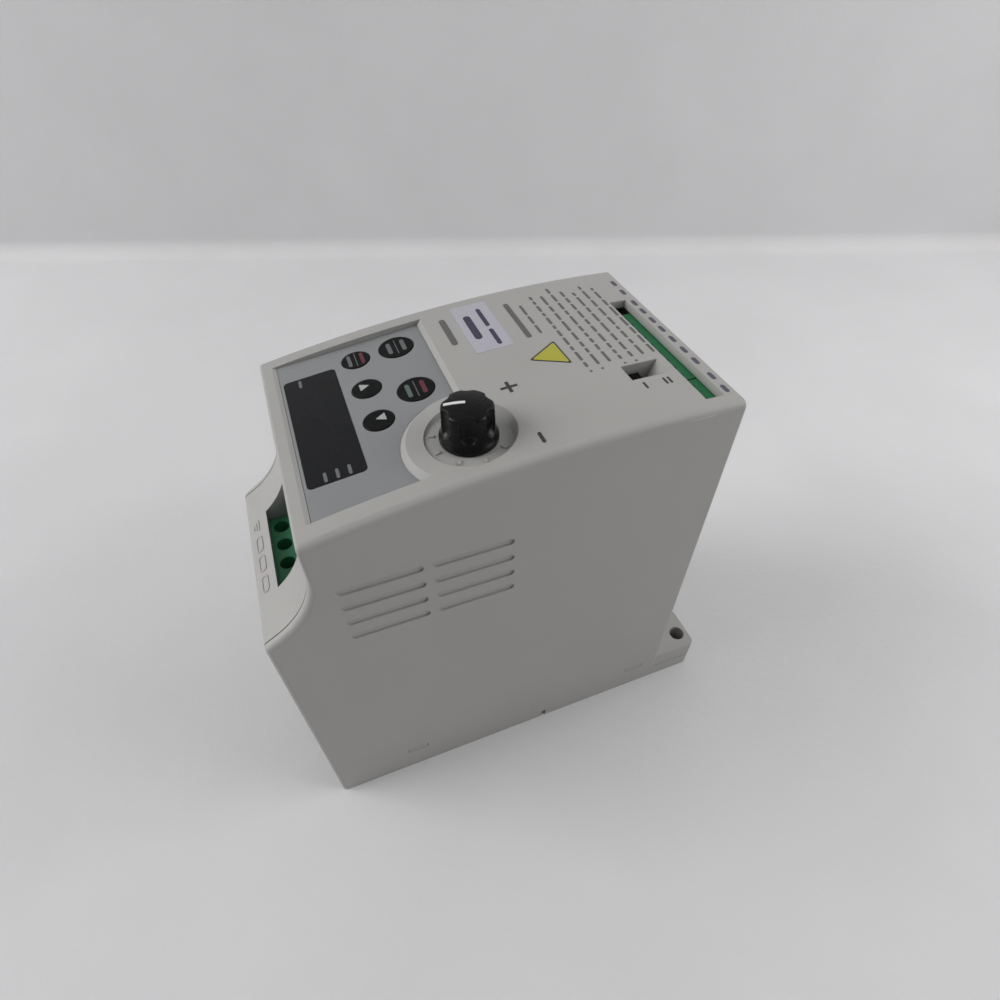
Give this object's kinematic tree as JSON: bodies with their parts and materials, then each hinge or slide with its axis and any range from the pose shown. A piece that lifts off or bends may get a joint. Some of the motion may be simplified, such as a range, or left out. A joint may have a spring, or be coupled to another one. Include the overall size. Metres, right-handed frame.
{
  "type": "variable frequency drive",
  "caption": "Compact grey inverter drive with curved front, keypad, speed knob, selector, terminal windows, finned back, mounting foot and ear.",
  "frame": {"origin": "on the mounting plane, under the middle of the object's bounding box", "axes": "+X from the keypad end to the control-terminal end, +Y from the drive's left side to its right side, +Z out of the mounting plane through the curved front"},
  "size_m": [0.132, 0.068, 0.1344],
  "materials": {
    "case_plastic": "fine moulded texture, warm light grey",
    "heat_sink_aluminium": "as extruded",
    "steel": "zinc plated",
    "circuit_board": "solder mask over glass laminate",
    "soft_pad": "soft thermal pad",
    "black_plastic": "moulded black",
    "terminal_green": "moulded green",
    "divider_grey": "dark grey moulding",
    "ferrite": "sintered ferrite",
    "copper": "enamelled copper wire",
    "bobbin_yellow": "taped yellow",
    "varistor_blue": "epoxy dipped",
    "fuse_glass": "clear tube",
    "led_red": "diffused lens",
    "window_dark": "smoked window",
    "film_grey": "satin blue-grey film",
    "knob_black": "gloss black",
    "pointer_white": "white",
    "key_black": "satin black",
    "can_sleeve": "dark sleeve on an aluminium can"
  },
  "bodies": {
    "drive": {"alarm_relay": "black_plastic", "base_tray": "case_plastic", "board_links": "black_plastic", "board_screws": "steel", "board_standoffs": "steel", "bridge_rectifier": "black_plastic", "bus_capacitor_1": "can_sleeve", "bus_capacitor_2": "can_sleeve", "bus_capacitor_3": "can_sleeve", "choke_core": "ferrite", "choke_windings": "copper", "control_board": "circuit_board", "control_terminal_screws": "steel", "control_terminals_relay": "terminal_green", "control_terminals_signal": "terminal_green", "display_module": "black_plastic", "display_window": "window_dark", "end_panel": "case_plastic", "film_capacitor": "bobbin_yellow", "front_case": "case_plastic", "fuse": "fuse_glass", "fuse_clips": "steel", "gate_driver": "black_plastic", "heat_sink": "heat_sink_aluminium", "indicator_leds": "led_red", "input_terminal_block": "terminal_green", "input_terminal_clamps": "steel", "inrush_relay": "black_plastic", "keypad_film": "film_grey", "motor_terminal_block": "terminal_green", "pot_body": "steel", "power_board": "circuit_board", "power_module": "black_plastic", "power_terminal_screws": "steel", "processor": "black_plastic", "selector_body": "black_plastic", "small_capacitors": "can_sleeve", "tact_switches": "black_plastic", "terminal_board": "circuit_board", "terminal_divider": "divider_grey", "terminal_panel": "case_plastic", "thermal_pad": "soft_pad", "transformer_bobbin": "bobbin_yellow", "transformer_core": "ferrite", "varistor": "varistor_blue"},
    "knob_assembly": {"knob": "knob_black", "knob_pointer": "pointer_white", "pot_shaft": "steel"},
    "selector_slider": {"selector_lever": "key_black"},
    "button_mode_reset": {"key_mode_reset": "key_black", "plunger_mode_reset": "key_black"},
    "button_prog_data": {"key_prog_data": "key_black", "plunger_prog_data": "key_black"},
    "button_up": {"key_up": "key_black", "plunger_up": "key_black"},
    "button_down": {"key_down": "key_black", "plunger_down": "key_black"},
    "button_run_stop": {"key_run_stop": "key_black", "plunger_run_stop": "key_black"}
  },
  "joints": [
    {"name": "knob_turn", "type": "hinge", "parent": "drive", "child": "knob_assembly", "pos_m": [-0.0115, -0.0195, 0.125], "axis": [0, 0, 1], "range_deg": [-125, 155]},
    {"name": "selector_slide", "type": "slide", "parent": "drive", "child": "selector_slider", "axis": [1, 0, 0], "range_m": [0, 0.0026]},
    {"name": "press_mode_reset", "type": "slide", "parent": "drive", "child": "button_mode_reset", "axis": [0, 0, -1], "range_m": [0, 0.0004], "stiffness_N_per_m": 1500, "springref_m": -0.0002},
    {"name": "press_prog_data", "type": "slide", "parent": "drive", "child": "button_prog_data", "axis": [0, 0, -1], "range_m": [0, 0.0004], "stiffness_N_per_m": 1500, "springref_m": -0.0002},
    {"name": "press_up", "type": "slide", "parent": "drive", "child": "button_up", "axis": [0, 0, -1], "range_m": [0, 0.0004], "stiffness_N_per_m": 1500, "springref_m": -0.0002},
    {"name": "press_down", "type": "slide", "parent": "drive", "child": "button_down", "axis": [0, 0, -1], "range_m": [0, 0.0004], "stiffness_N_per_m": 1500, "springref_m": -0.0002},
    {"name": "press_run_stop", "type": "slide", "parent": "drive", "child": "button_run_stop", "axis": [0, 0, -1], "range_m": [0, 0.0004], "stiffness_N_per_m": 1500, "springref_m": -0.0002}
  ]
}
